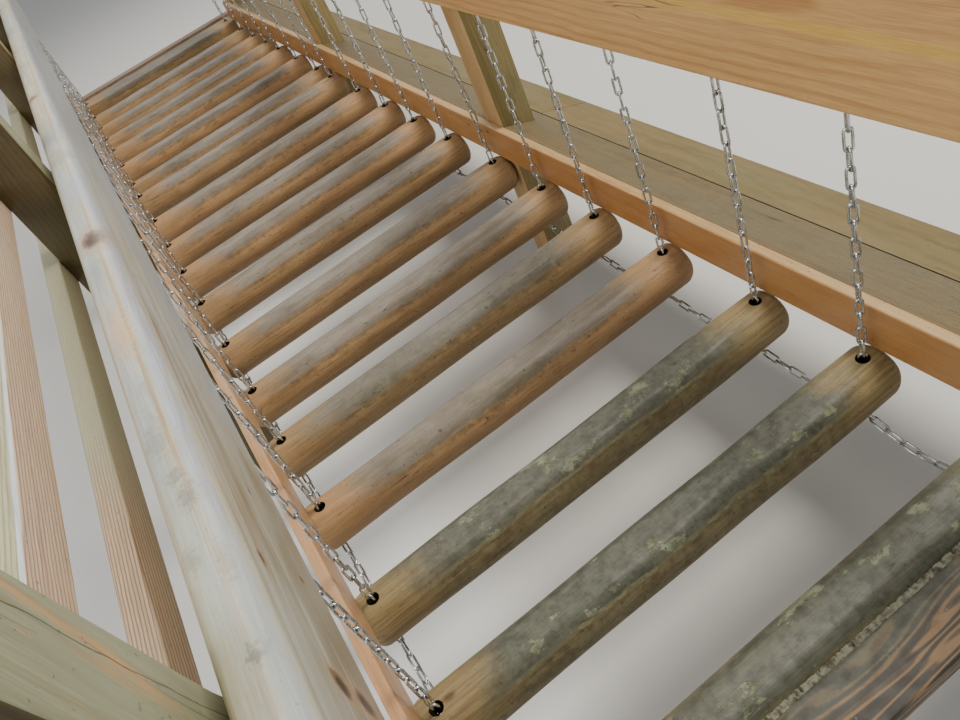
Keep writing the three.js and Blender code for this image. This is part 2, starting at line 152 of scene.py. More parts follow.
class Graph:
    """A small helper that adds and links the nodes of one material.

    Colours are 8-bit (red, green, blue). The material's colour is built up in tints.
    """

    def __init__(self, name):
        self.material = bpy.data.materials.new(name)
        self.material.use_nodes = True
        self.nodes = self.material.node_tree.nodes
        self.links = self.material.node_tree.links
        self.shader = next(n for n in self.nodes if n.type == "BSDF_PRINCIPLED")
        self.colour = None

    def add(self, kind, settings=None, **inputs):
        node = self.nodes.new(kind)
        for key, value in (settings or {}).items():
            setattr(node, key, value)
        for key, value in inputs.items():
            self.plug(node.inputs[key.replace("_", " ")], value)
        return node

    def plug(self, socket, value):
        if isinstance(value, bpy.types.NodeSocket):
            self.links.new(value, socket)
        else:
            socket.default_value = srgb(*value) if socket.type == "RGBA" else value

    def math(self, operation, *values):
        node = self.add("ShaderNodeMath", {"operation": operation})
        for socket, value in zip(node.inputs, values):
            self.plug(socket, value)
        return node.outputs[0]

    def product(self, first, *others):
        for other in others:
            first = self.math("MULTIPLY", first, other)
        return first

    def total(self, base, *parts):
        """The base with every part added, times its share."""
        for part, share in parts:
            base = self.math("MULTIPLY_ADD", part, share, base)
        return base

    def sway(self, value, noise, reach):
        """The value pushed up and down by a noise."""
        return self.total(value, (self.math("SUBTRACT", noise, 0.5), reach))

    def ramp(self, value, low, high):
        """0 below low, 1 above high and smooth between them."""
        node = self.add("ShaderNodeMapRange", {"interpolation_type": "SMOOTHSTEP"},
                        Value=value, From_Min=low, From_Max=high)
        return node.outputs["Result"]

    def inside(self, value, low, high):
        """1 below low, 0 above high and smooth between them."""
        return self.math("SUBTRACT", 1.0, self.ramp(value, low, high))

    def mix(self, share, first, second, blend="MIX"):
        node = self.add("ShaderNodeMix", {
            "data_type": "RGBA", "blend_type": blend, "clamp_factor": True})
        for socket, value in ((0, share), (6, first), (7, second)):
            self.plug(node.inputs[socket], value)
        return node.outputs[2]

    def tint(self, tint, *shares):
        """Lays a tint over the colour; its share is the product of the shares."""
        self.colour = self.mix(self.product(*shares), self.colour, tint)

    def shade(self, value, low, high, dark):
        """Darkens the colour where the value is low."""
        tone = self.mix(self.ramp(value, low, high), dark, WHITE)
        self.colour = self.mix(0.75, self.colour, tone, "MULTIPLY")

    def coordinates(self, scale=(1, 1, 1), turn=(0, 0, 0), shift=(0, 0, 0)):
        source = self.add("ShaderNodeTexCoord").outputs["Object"]
        mapping = self.add("ShaderNodeMapping", Vector=source, Scale=scale, Rotation=turn,
                           Location=shift)
        return mapping.outputs["Vector"]

    def along(self, axis, length_scale, turn=(0, 0, 0), shift=(0, 0, 0)):
        """Coordinates that stretch a texture along the grain."""
        scale = [1.0, 1.0, 1.0]
        scale[AXES[axis]] = length_scale
        return self.coordinates(scale, turn, shift)

    def coordinate(self, axis):
        """One of the bridge's own coordinates, in metres."""
        source = self.add("ShaderNodeTexCoord").outputs["Object"]
        parts = self.add("ShaderNodeSeparateXYZ", Vector=source)
        return self.math("SUBTRACT", parts.outputs[AXES[axis]], ORIGIN[AXES[axis]])

    def attribute(self, name):
        return self.add("ShaderNodeAttribute", {"attribute_name": name}).outputs["Fac"]

    def noise(self, vector, scale, detail, roughness, distortion=0.0):
        node = self.add("ShaderNodeTexNoise", Vector=vector, Scale=scale, Detail=detail,
                        Roughness=roughness, Distortion=distortion)
        return node.outputs[0]

    def waves(self, vector, size, settings, **inputs):
        node = self.add("ShaderNodeTexWave", settings, Vector=vector, Scale=WAVE_PERIOD / size,
                        **inputs)
        return node.outputs[1]

    def spots(self, vector, scale, odds, low, high):
        """Round spots in some of the cells of a loose grid."""
        cells = self.add("ShaderNodeTexVoronoi", {"distance": "EUCLIDEAN"},
                         Vector=vector, Scale=scale, Randomness=1.0)
        pick = self.add("ShaderNodeSeparateColor", Color=cells.outputs["Color"]).outputs[0]
        chosen = self.math("GREATER_THAN", pick, 1.0 - odds)
        return self.product(self.inside(cells.outputs["Distance"], low, high), chosen)

    def cracks(self, vector, scale, low, high, where):
        """Fine lines, where a stretched noise crosses its middle."""
        away = self.math("SUBTRACT", self.noise(vector, scale, 2.0, 0.5), 0.5)
        return self.product(self.inside(self.math("ABSOLUTE", away), low, high), where)

    def finish(self, rough, height=None, strength=0.0, distance=0.0012):
        self.plug(self.shader.inputs["Base Color"], self.colour)
        self.plug(self.shader.inputs["Roughness"], rough)
        if height is not None:
            relief = self.add("ShaderNodeBump", Strength=strength, Distance=distance,
                              Height=height)
            self.plug(self.shader.inputs["Normal"], relief.outputs["Normal"])
        return self.material


def grain_layers(graph, axis, heart, ring_size, seed, wander, tilt):
    """Growth rings about an off-centre heart that lies askew, and fine fibres."""
    if tilt is None:
        tilt = [0.0, 0.0, 0.0]
        tilt[(AXES[axis] + 1) % 3] = 1.6
        tilt[(AXES[axis] + 2) % 3] = -1.1
    turn = [math.radians(angle) for angle in tilt]
    rings = graph.waves(
        graph.along(axis, 0.35, turn, heart), ring_size,
        {"wave_type": "RINGS", "rings_direction": axis, "wave_profile": "SIN"},
        Distortion=6.0 * wander, Detail=2.0, Detail_Scale=0.9, Detail_Roughness=0.5)
    fibre_vector = graph.along(axis, 0.03, shift=(seed, seed * 0.7, seed * 0.3))
    fibres = graph.noise(fibre_vector, 420.0, 4.0, 0.65)
    streaks = graph.noise(fibre_vector, 70.0, 3.0, 0.6)
    return rings, fibres, streaks


def wood(name, axis, pale, dark, weather, *, seed, ring_size, ring_share, roughness,
         heart=(0.3, 0.0, 0.2), tilt=None, wander=1.0, weather_share=0.4, blotch=None,
         blotch_share=0.0, blotch_stretch=0.5, bump=0.25, specks=0.5, knots=0.0, sheen_lines=0.0,
         bands=(), lines=(), smudges=(), eyes=(), groove_shade=None, crack_line=None, far=None):
    """Sawn timber: rings, fibres, weathered patches, stains, soft bands and a few knots, and where
    asked painted sheen lines and painted shade in grooves.
    """
    graph = Graph(name)
    rings, fibres, streaks = grain_layers(graph, axis, heart, ring_size, seed, wander, tilt)
    graph.colour = pale
    graph.tint(dark, graph.ramp(rings, 0.45, 0.95), ring_share)
    graph.tint(dark, graph.ramp(streaks, 0.52, 0.72), 0.35)
    for i, (tint, share, size) in enumerate(bands):
        shift = (seed + 3 * i, seed * 1.3, seed * 2)
        band = graph.noise(graph.along(axis, 0.07, shift=shift), 0.3 / size, 3.0, 0.6)
        graph.tint(tint, graph.ramp(band, 0.47, 0.58), share)
    for line in lines:
        streak(graph, *line)
    graph.shade(fibres, 0.35, 0.75, (214, 210, 204))

    broad = graph.along(axis, 0.22, shift=(seed * 2, 0, seed))
    patches = graph.noise(broad, 5.0, 5.0, 0.6)
    graph.tint(weather, graph.ramp(patches, 0.40, 0.66), weather_share)
    # Pale lengthwise crests: painted sheen.
    if sheen_lines:
        sheen_crests = graph.noise(graph.along(axis, 0.018, shift=(seed, 0, seed * 3)), 46.0, 2.0, 0.5)
        graph.tint((240, 239, 230), graph.ramp(sheen_crests, 0.56, 0.66), sheen_lines)
    # Darker in the fine grooves: painted shade.
    if groove_shade is not None:
        size, turn, shift = groove_shade
        groove_bands = graph.waves(graph.coordinates(turn=turn, shift=shift), size,
                              {"wave_type": "BANDS", "bands_direction": "X"})
        graph.tint(dark, graph.inside(groove_bands, 0.05, 0.45),
                   graph.ramp(patches, 0.36, 0.60), 0.55)
    if blotch is not None:
        stains = graph.noise(graph.along(axis, blotch_stretch, shift=(0, seed, 0)), 9.0, 6.0, 0.7)
        graph.tint(blotch, graph.ramp(stains, 0.55, 0.66), blotch_share)
    if knots:
        spots = graph.spots(graph.along(axis, 0.42, shift=(seed, seed, seed)), 4.2,
                            0.35 * knots, 0.020, 0.050)
        graph.tint((92, 56, 30), spots, min(1.0, knots * 1.6), 0.75)
    if far is not None:
        start, end, tint, share = far
        place = graph.sway(graph.coordinate("Y"), patches, 0.8)
        graph.tint(tint, graph.ramp(place, start, end), share)
    for place in smudges:
        smudge(graph, *place)
    for place in eyes:
        eye_knot(graph, *place)
    if crack_line is not None:
        long_crack(graph, *crack_line)

    dust = graph.noise(graph.coordinates(shift=(seed, 0, 0)), 130.0, 2.0, 0.5)
    graph.tint((70, 56, 40), graph.ramp(dust, 0.69, 0.74), specks)
    crack = graph.cracks(graph.along(axis, 0.055, shift=(0, 0, seed * 1.7)), 16.0, 0.0008, 0.0035,
                         graph.ramp(graph.noise(broad, 9.0, 2.0, 0.5), 0.56, 0.62))
    graph.tint((58, 42, 28), crack, 0.7)
    height = graph.total(0.0, (fibres, 0.5), (rings, 0.35), (crack, -1.2))
    rough = graph.total(roughness - 0.06, (graph.ramp(fibres, 0.35, 0.75), 0.12))
    return graph.finish(rough, height, bump)


def streak(graph, across, middle, slope, half_width, tint, share):
    """A soft lengthwise streak on a timber that runs along Y."""
    offset = graph.math("SUBTRACT", graph.coordinate(across), middle)
    offset = graph.total(offset, (graph.coordinate("Y"), -slope))
    drift = graph.noise(graph.along("Y", 0.12), 9.0, 4.0, 0.6)
    away = graph.math("ABSOLUTE", graph.sway(offset, drift, 2.4 * half_width))
    graph.tint(tint, graph.inside(away, half_width * 0.5, half_width * 1.2), share)


def long_crack(graph, height, middle, slope):
    """One drying crack down a post, at a given place along the bridge."""
    offset = graph.math("SUBTRACT", graph.coordinate("Y"), middle)
    above = graph.math("SUBTRACT", graph.coordinate("Z"), height)
    drift = graph.noise(graph.along("Z", 0.4), 30.0, 3.0, 0.5)
    away = graph.math("ABSOLUTE", graph.sway(graph.total(offset, (above, -slope)), drift, 0.012))
    graph.tint((62, 54, 42), graph.inside(away, 0.0004, 0.0014), 0.75)


def ragged_distance(graph, centre, radii, noise, reach):
    """Distance from one place, in radii, made ragged by a noise."""
    scale = [1 / radius for radius in radii]
    vector = graph.coordinates(scale, shift=[-p * f for p, f in zip(at(*centre), scale)])
    distance = graph.add("ShaderNodeVectorMath", {"operation": "LENGTH"}, Vector=vector)
    return graph.sway(distance.outputs["Value"], graph.noise(graph.coordinates(), *noise), reach)


def smudge(graph, centre, radii, tint, share):
    """A ragged stain round one place."""
    distance = ragged_distance(graph, centre, radii, (110.0, 5.0, 0.68), 4.6)
    graph.tint(tint, graph.inside(distance, 0.4, 1.5), share)


def eye_knot(graph, centre, radii, strength):
    """One branch knot: a pale halo, a brown rim and a dark heart."""
    distance = ragged_distance(graph, centre, radii, (70.0, 3.0, 0.6), 0.9)
    for low, high, share, tint in ((1.1, 2.3, 0.45, (176, 136, 92)),
                                   (0.85, 1.2, 0.8, (112, 74, 44)),
                                   (0.45, 0.85, 0.85, (48, 32, 22))):
        graph.tint(tint, graph.inside(distance, low, high), share * strength)


def log_wood():
    """Round timber: clean ends, a polished grey film on the trodden top, grime, mud and painted
    shade towards the underside.
    """
    graph = Graph("log_timber")
    high, side, span, mud, tone = map(graph.attribute, ("high", "side", "span", "mud", "tone"))
    fibre_vector = graph.along("X", 0.03)
    fibres = graph.noise(fibre_vector, 420.0, 4.0, 0.65)
    streaks = graph.noise(fibre_vector, 120.0, 4.0, 0.6)
    patches = graph.noise(graph.along("X", 0.45), 8.0, 6.0, 0.62)
    clouds = graph.noise(graph.coordinates(), 34.0, 7.0, 0.68)
    drift = graph.noise(graph.along("X", 0.35, shift=(0.4, 0.9, 0.0)), 9.0, 6.0, 0.68)

    grain = graph.ramp(streaks, 0.34, 0.70)
    olive = graph.mix(grain, (162, 148, 102), (126, 112, 70))
    graph.colour = graph.mix(grain, (186, 152, 106), (158, 124, 82))
    graph.tint((206, 158, 110), tone, 0.8)
    graph.tint(olive, mud, 0.85)
    graph.tint((140, 112, 76), graph.ramp(patches, 0.42, 0.64), 0.45)
    # Painted shade: each log gets darker towards its underside.
    graph.tint((100, 80, 52), graph.inside(high, -0.7, 0.25), 0.50)

    # The marks of feet keep clear of the two ends, and their edges on top are ragged.
    trodden = graph.inside(graph.sway(span, patches, 0.55), 0.62, 0.86)
    ragged = graph.sway(graph.sway(high, clouds, 0.24), drift, 0.50)
    fine_mud = graph.mix(graph.ramp(clouds, 0.34, 0.68), (128, 122, 90), (88, 82, 56))
    graph.tint(fine_mud, mud, trodden, 0.78)

    # Brown smudges on the flanks below the film, and olive grime along both its edges
    smudges = graph.noise(graph.along("X", 0.38), 30.0, 6.0, 0.70)
    graph.tint((112, 84, 52), graph.ramp(smudges, 0.53, 0.63),
               graph.ramp(high, -0.35, 0.30), graph.inside(ragged, 0.52, 0.66),
               trodden, 0.42)
    graph.tint((90, 80, 54), graph.ramp(ragged, 0.34, 0.50),
               graph.inside(ragged, 0.58, 0.74), trodden,
               graph.total(0.40, (graph.ramp(clouds, 0.34, 0.66), 0.45)), 0.72)

    # The polished film
    film = graph.product(graph.ramp(ragged, 0.54, 0.66), trodden)
    grey = graph.mix(graph.ramp(drift, 0.36, 0.66), (142, 134, 122), (104, 96, 78))
    green = graph.mix(graph.ramp(clouds, 0.34, 0.70), (96, 100, 86), (60, 64, 52))
    film_colour = graph.mix(graph.product(graph.ramp(streaks, 0.50, 0.66), 0.25),
                            graph.mix(mud, grey, green), (104, 86, 62))
    graph.tint(film_colour, film, 0.90)

    # Dried mud with a sharp edge, and a pale rim of it at the near edge of the film
    crusts = graph.noise(graph.along("X", 0.7, shift=(0.37, 0.11, 0.0)), 15.0, 10.0, 0.68)
    crust = graph.product(graph.ramp(crusts, 0.575, 0.600), graph.ramp(ragged, 0.35, 0.70),
                          trodden, mud)
    dried = graph.mix(graph.ramp(clouds, 0.36, 0.64), (158, 164, 134), (112, 116, 90))
    graph.tint(dried, crust, 0.78)
    graph.tint((156, 150, 108), graph.ramp(ragged, 0.52, 0.60),
               graph.inside(ragged, 0.62, 0.72), graph.inside(side, -0.2, 0.2),
               graph.ramp(clouds, 0.42, 0.58), mud, trodden, 0.55)

    # Fibres, specks, pits, knots and drying cracks over all of it
    graph.shade(fibres, 0.35, 0.72, (210, 206, 200))
    specks = graph.noise(graph.coordinates(shift=(3.1, 0, 0)), 150.0, 2.0, 0.5)
    graph.tint((56, 44, 30), graph.ramp(specks, 0.66, 0.72), 0.65)
    pits = graph.noise(graph.along("X", 0.7, shift=(5.3, 0, 0)), 62.0, 3.0, 0.6)
    graph.tint((62, 50, 34), graph.ramp(pits, 0.66, 0.70), trodden, 0.7)
    knots = graph.spots(graph.along("X", 0.55, shift=(0.7, 0.2, 0.1)), 6.0, 0.20, 0.035, 0.080)
    graph.tint((74, 46, 26), knots, 0.7)
    crack = graph.cracks(graph.along("X", 0.05, shift=(0, 0, 0.9)), 22.0, 0.0010, 0.0045,
                         graph.ramp(patches, 0.52, 0.58))
    graph.tint((52, 38, 24), crack, 0.7)

    rings = graph.math("SINE", graph.total(0.0, (clouds, 4.0), (graph.attribute("ring"), 900.0)))
    end_colour = graph.mix(graph.ramp(rings, -0.4, 0.9), (178, 140, 92), (134, 98, 58))
    graph.tint(end_colour, graph.attribute("end_grain"))
    rough = graph.total(0.54, (clouds, 0.20), (film, -0.14), (crust, 0.40))
    height = graph.total(0.0, (fibres, 0.45), (clouds, 0.5), (crust, 0.9), (crack, -1.3))
    return graph.finish(rough, height, 0.40, 0.0014)


def trodden_plank():
    """A dark plank: flame grain with tan edges under a grey-green film."""
    graph = Graph("threshold_timber")
    figure = graph.noise(graph.along("X", 0.15, shift=(1.3, 0.4, 0.0)), 13.0, 2.0, 0.45, 0.5)
    clouds = graph.noise(graph.coordinates(), 30.0, 6.0, 0.65)
    fibres = graph.noise(graph.along("X", 0.03), 300.0, 4.0, 0.65)
    flames = graph.math("SINE", graph.product(figure, 70.0))
    graph.colour = graph.mix(graph.ramp(flames, -0.8, -0.2), (146, 110, 68), (88, 68, 46))
    graph.tint((50, 40, 30), graph.ramp(flames, 0.1, 0.6))
    place = graph.sway(graph.sway(graph.coordinate("Y"), clouds, 0.09), figure, 0.10)
    film = graph.mix(graph.ramp(clouds, 0.36, 0.64), (82, 86, 72), (58, 60, 50))
    graph.tint(film, graph.total(0.26, (graph.ramp(place, 0.095, 0.150), 0.50)))
    specks = graph.noise(graph.coordinates(shift=(2.1, 0, 0)), 90.0, 3.0, 0.6)
    graph.tint((160, 164, 140), graph.ramp(specks, 0.70, 0.74), 0.4)
    height = graph.total(0.0, (fibres, 0.5), (flames, 0.25))
    return graph.finish(graph.total(0.42, (clouds, 0.3)), height, 0.4)


def plain(name, colour, roughness, grime, grime_share, metallic=0.0):
    graph = Graph(name)
    graph.colour = colour
    graph.shader.inputs["Metallic"].default_value = metallic
    cloud = graph.noise(graph.coordinates(), 60.0, 4.0, 0.6)
    graph.tint(grime, graph.ramp(cloud, 0.42, 0.66), grime_share)
    return graph.finish(graph.total(roughness - 0.1, (cloud, 0.2)))


LOG_TIMBER = log_wood()
SILL_WOOD = trodden_plank()
# Near-black insides of the chain holes: painted shade.
HOLE_SHADE = plain("drilled_hole_shade", (34, 25, 18), 0.9, (18, 14, 10), 0.8)
CHAIN_STEEL = plain("galvanised_chain", (214, 216, 216), 0.24, (128, 126, 120), 0.55, 1.0)
JOINT_DIRT = plain("joint_dirt", (126, 124, 106), 0.95, (70, 66, 52), 0.9)
# Knots of the left handrail: place, radii and strength
LEFT_EYES = (
    ((-0.560, 0.216, 0.775), (0.020, 0.017, 0.020), 1.0),
    ((-0.560, 0.221, 0.719), (0.020, 0.018, 0.022), 1.0),
    ((-0.560, 0.412, 0.729), (0.020, 0.008, 0.007), 0.7),
    ((-0.562, 0.356, 0.851), (0.020, 0.014, 0.007), 0.6),
    ((-0.590, 1.300, 0.904), (0.022, 0.040, 0.020), 0.85),
    ((-0.610, 2.650, 0.904), (0.020, 0.030, 0.020), 0.5),
)
# Smudges on the left handrail's top: x, y, radii along them, colour and share. The two bluish ones
# far along are painted sky reflection; the rest are stains.
LEFT_SMUDGES = [((x, y, RAIL_TOP), (across, lengthwise, 0.02), tint, share)
                for x, y, across, lengthwise, tint, share in (
    (-0.591, 0.455, 0.010, 0.022, (124, 126, 112), 0.60),
    (-0.598, 0.500, 0.009, 0.014, (124, 126, 112), 0.55),
    (-0.606, 0.583, 0.014, 0.030, (140, 142, 128), 0.55),
    (-0.587, 0.205, 0.007, 0.012, (112, 112, 98), 0.60),
    (-0.612, 0.360, 0.010, 0.018, (140, 134, 112), 0.50),
    (-0.580, 0.330, 0.008, 0.026, (170, 150, 130), 0.50),
    (-0.600, 0.900, 0.018, 0.090, (214, 178, 128), 0.60),
    (-0.606, 1.150, 0.016, 0.060, (150, 156, 150), 0.50),
    (-0.585, 1.620, 0.018, 0.080, (158, 170, 180), 0.60),
    (-0.600, 2.100, 0.020, 0.090, (156, 166, 176), 0.55),
)]
# Streaks along a timber: coordinate, middle, slope, half width, colour and share. The first, bluish
# streak of the left handrail is painted sky reflection.
LEFT_LINES = (
    ("X", -0.574, 0.004, 0.011, (172, 180, 198), 0.70),
    ("X", -0.590, 0.003, 0.0035, (178, 144, 100), 0.70),
    ("X", -0.559, 0.002, 0.0025, (128, 102, 72), 0.75),
    ("X", -0.628, 0.000, 0.006, (184, 164, 112), 0.70),
)
# The second, pale streak along the right handrail's top is a painted highlight from the sky.
RIGHT_LINES = (
    ("Z", 0.800, 0.018, 0.014, (232, 188, 96), 0.90),
    ("Z", 0.905, 0.000, 0.016, (226, 212, 184), 0.75),
)
# The left handrail's bluish band is painted sky reflection, and its pale crest lines are painted
# sheen.
LEFT_RAIL_WOOD = wood(
    "left_handrail_timber", "Y", (198, 195, 170), (176, 164, 128), (184, 190, 176),
    heart=(0.62, 0.0, -0.95), ring_size=0.011, seed=2.3, ring_share=0.30, weather_share=0.45,
    blotch=(146, 147, 130), blotch_share=0.6, roughness=0.44, sheen_lines=0.18, specks=0.25,
    bands=(((176, 184, 198), 0.50, 0.022), ((202, 176, 138), 0.45, 0.014)),
    eyes=LEFT_EYES, lines=LEFT_LINES, smudges=LEFT_SMUDGES)
RIGHT_RAIL_WOOD = wood(
    "right_handrail_timber", "Y", (222, 172, 108), (188, 124, 68), (222, 180, 120),
    heart=(-0.365, 0.0, -1.462), tilt=(-3.3, 0.0, -9.6), ring_size=0.023, seed=5.1,
    ring_share=0.52, weather_share=0.20, roughness=0.45, bump=0.10, wander=0.55,
    bands=(((228, 186, 120), 0.35, 0.05),), specks=0.15, lines=RIGHT_LINES)
GIRDER = {"heart": (0.2, 0.0, -0.5), "ring_share": 0.3, "specks": 0.6}
GIRDER_WOOD = wood(
    "girder_timber", "Y", (204, 146, 84), (176, 116, 62), (204, 158, 100), **GIRDER,
    ring_size=0.014, seed=7.7, weather_share=0.35, roughness=0.42, bump=0.10,
    bands=(((188, 128, 72), 0.4, 0.02),))
LEFT_GIRDER_WOOD = wood(
    "left_girder_timber", "Y", (202, 156, 112), (172, 124, 84), (190, 160, 124),
    **GIRDER, ring_size=0.014, seed=7.1, weather_share=0.45, roughness=0.45, bump=0.10,
    bands=(((184, 138, 96), 0.4, 0.02),))
# A paler copy of the girder timber for the top faces: painted light from above.
GIRDER_LIT_TOP_WOOD = wood(
    "girder_top_timber", "Y", (196, 158, 104), (166, 122, 74), (188, 164, 118),
    **GIRDER, ring_size=0.012, seed=7.9, roughness=0.5, bump=0.12)
PLANK_WOOD = wood(
    "kerb_inner_timber", "Y", (120, 104, 68), (84, 68, 44), (114, 108, 82),
    heart=(-0.6, 0.0, -0.2), ring_size=0.006, seed=3.9, ring_share=0.30, weather_share=0.5,
    blotch=(92, 80, 54), blotch_share=0.5, roughness=0.66, specks=0.9,
    bands=(((132, 110, 70), 0.4, 0.02),),
    groove_shade=(GROOVED_WIDTH / GROOVE_COUNT, (0, -KERB_SLOPE, 0), (RIB_SHIFT, 0, 0)))
OUTER_PLANK_WOOD = wood(
    "kerb_outer_timber", "Y", (130, 114, 70), (100, 84, 48), (122, 116, 82),
    heart=(-0.6, 0.0, -0.2), ring_size=0.014, seed=4.6, ring_share=0.3, weather_share=0.45,
    blotch=(104, 88, 56), blotch_share=0.45, roughness=0.58, knots=0.1, bump=0.15,
    bands=(((142, 118, 74), 0.4, 0.02),), specks=0.9)
# The faces either side of the gap between the kerb planks: painted shade.
KERB_GAP_SHADE = wood(
    "kerb_gap_shade_timber", "Y", (78, 62, 42), (50, 38, 26), (88, 76, 54),
    ring_size=0.006, seed=4.1, ring_share=0.4, roughness=0.85)
POST_WOOD = wood(
    "post_timber", "Z", (178, 144, 96), (136, 106, 66), (142, 130, 88),
    heart=(0.25, 0.4, 0.0), ring_size=0.010, seed=6.4, ring_share=0.4, weather_share=0.45,
    blotch=(118, 108, 70), blotch_share=0.3, roughness=0.6, knots=0.3)
# Lit and shaded copies of the post timber: the inboard faces get painted light, the near faces
# painted shade.
POST_LIT_GOLD_WOOD = wood(
    "post_inboard_timber", "Z", (214, 172, 114), (182, 134, 80), (200, 170, 118),
    heart=(0.45, 0.9, 0.0), ring_size=0.016, seed=6.9, ring_share=0.35, weather_share=0.35,
    roughness=0.5, knots=0.15, bump=0.15)
POST_SHADED_OLIVE_WOOD = wood(
    "post_near_timber", "Z", (152, 134, 84), (118, 102, 60), (132, 124, 80),
    heart=(0.25, 0.4, 0.0), ring_size=0.012, seed=6.1, ring_share=0.35, weather_share=0.45,
    blotch=(98, 92, 56), blotch_share=0.4, roughness=0.55, knots=0.2, bump=0.18)
POST_SHADED_DARK_WOOD = wood(
    "post_shaded_timber", "Z", (96, 82, 48), (70, 58, 34), (84, 78, 48),
    heart=(-0.65, 0.4, 0.0), ring_size=0.012, seed=8.3, ring_share=0.35, roughness=0.55,
    knots=0.2, bump=0.18)
# The left posts' inboard faces: their own grey-green colour, tan stains and a crack, made paler as
# painted light.
POST_LIT_PALE_WOOD = wood(
    "post_pale_timber", "Z", (160, 160, 130), (136, 128, 96), (142, 150, 126),
    heart=(-1.15, 0.9, 0.0), ring_size=0.020, seed=5.7, ring_share=0.25, weather_share=0.5,
    blotch=(196, 150, 100), blotch_share=0.75, blotch_stretch=0.14, roughness=0.55,
    knots=0.3, bump=0.2, crack_line=(0.859, 0.232, -0.139))
SIDE_RAIL = {"heart": (1.60, 0.0, -0.70), "ring_size": 0.0050, "roughness": 0.6, "wander": 0.22,
             "bump": 0.2}
SIDE_RAIL_WOOD = wood(
    "side_rail_timber", "Y", (208, 184, 152), (146, 106, 76), (188, 182, 150),
    **SIDE_RAIL, seed=9.2, ring_share=0.85, weather_share=0.20,
    bands=(((186, 152, 118), 0.25, 0.02),), far=(0.7, 1.3, (160, 166, 136), 0.65))
# A paler copy of the side rail timber for the high rail's inboard face: painted sunlight.
SIDE_RAIL_SUNLIT_WOOD = wood(
    "side_rail_sunlit_timber", "Y", (232, 206, 180), (178, 136, 108), (206, 196, 172),
    **SIDE_RAIL, seed=9.9, ring_share=0.80, weather_share=0.25)
# The pale line along the high side rail's top arris is a painted highlight.
SIDE_RAIL_TOP_WOOD = wood(
    "side_rail_top_timber", "Y", (194, 192, 156), (150, 138, 98), (176, 188, 150),
    **SIDE_RAIL, seed=9.6, ring_share=0.65, weather_share=0.45,
    lines=(("X", -0.796, 0.0, 0.004, (222, 230, 236), 0.85),))
FAR_BOARD_WOOD = wood(
    "far_board_timber", "X", (152, 126, 100), (108, 84, 62), (142, 132, 116),
    heart=(0.0, 0.5, -0.3), ring_size=0.010, seed=4.2, ring_share=0.5, weather_share=0.5,
    roughness=0.65, knots=0.2)


# Mesh helpers

# A face looks a given way when its normal's part along it is at least this.
FACING = 0.75
TINY = 1e-9
# Edges that turn by more than this many degrees stay sharp.
SHARP_TIMBER, SHARP_LOG, SHARP_WIRE, SHARP_LINK = 38.0, 50.0, 60.0, 70.0


def put(name, data):
    thing = bpy.data.objects.new(name, data)
    bpy.context.collection.objects.link(thing)
    return thing


def evaluated_mesh(thing):
    bpy.context.view_layer.update()
    graph = bpy.context.evaluated_depsgraph_get()
    return bpy.data.meshes.new_from_object(thing.evaluated_get(graph))


def make_piece(name, points, faces, material, body, nodes, slot, sharp_deg=SHARP_TIMBER):
    """A smooth mesh with sharp edges where its faces turn, riding on a body if it has one."""
    mesh = bpy.data.meshes.new(name)
    mesh.from_pydata([tuple(p) for p in points], [], [tuple(f) for f in faces])
    mesh.materials.append(material)
    finish_mesh(mesh, sharp_deg)
    piece = put(name, mesh)
    if body is not None:
        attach(piece, body)
    if nodes:
        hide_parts(*nodes)
    return piece


def finish_mesh(mesh, sharp_deg):
    """Turns the faces outwards, smooths them and keeps the edges of a sharp turn."""
    work = bmesh.new()
    work.from_mesh(mesh)
    bmesh.ops.recalc_face_normals(work, faces=work.faces)
    limit = math.radians(sharp_deg)
    for face in work.faces:
        face.smooth = True
    for edge in work.edges:
        edge.smooth = len(edge.link_faces) == 2 and edge.calc_face_angle(0.0) < limit
    work.to_mesh(mesh)
    work.free()


def paint_faces(piece, choices):
    """Gives the faces that look a given way a material of their own."""
    for direction, material in choices:
        piece.data.materials.append(material)
        index = len(piece.data.materials) - 1
        way = Vector(direction)
        for polygon in piece.data.polygons:
            if polygon.normal.dot(way) > FACING:
                polygon.material_index = index


def loft(loops):
    """Points and faces of a closed solid through loops with equal numbers of points."""
    count = len(loops[0])
    points = [p for loop in loops for p in loop]
    faces = []
    for i in range(len(loops) - 1):
        a, b = i * count, (i + 1) * count
        for j in range(count):
            k = (j + 1) % count
            faces.append((a + j, a + k, b + k, b + j))
    faces.append(tuple(range(count - 1, -1, -1)))
    last = (len(loops) - 1) * count
    faces.append(tuple(range(last, last + count)))
    return points, faces


def rounded(corners, steps=4):
    """A closed outline through (a, b, radius) corners, each rounded by its own radius."""
    outline = []
    for i, (a, b, radius) in enumerate(corners):
        here = Vector((a, b))
        before = Vector(corners[i - 1][:2]) - here
        after = Vector(corners[(i + 1) % len(corners)][:2]) - here
        if radius <= 0:
            outline.append(here)
            continue
        start = here + before.normalized() * radius
        end = here + after.normalized() * radius
        for step in range(steps + 1):
            t = step / steps
            outline.append(start * (1 - t) ** 2 + here * 2 * t * (1 - t) + end * t ** 2)
    return outline


def bar(low, high, radii, side=1, steps=4):
    """A rectangle's outline, its corners rounded in turn from the low one along the first axis."""
    (a, b), (c, d) = low, high
    corners = ((a, b), (c, b), (c, d), (a, d))
    return rounded([(side * u, v, r) for (u, v), r in zip(corners, radii)], steps)


def inset(outline, depth):
    """The outline moved inwards by a small depth."""
    area = sum(before.x * here.y - here.x * before.y
               for before, here in zip(outline[-1:] + outline, outline))
    turn = 1.0 if area > 0 else -1.0
    moved = []
    for i, here in enumerate(outline):
        before = here - outline[i - 1]
        after = outline[(i + 1) % len(outline)] - here
        side = Vector((0.0, 0.0))
        for edge in (before, after):
            if edge.length > TINY:
                side += Vector((-edge.y, edge.x)).normalized() * turn
        moved.append(here + (side.normalized() * depth if side.length > TINY else side))
    return moved


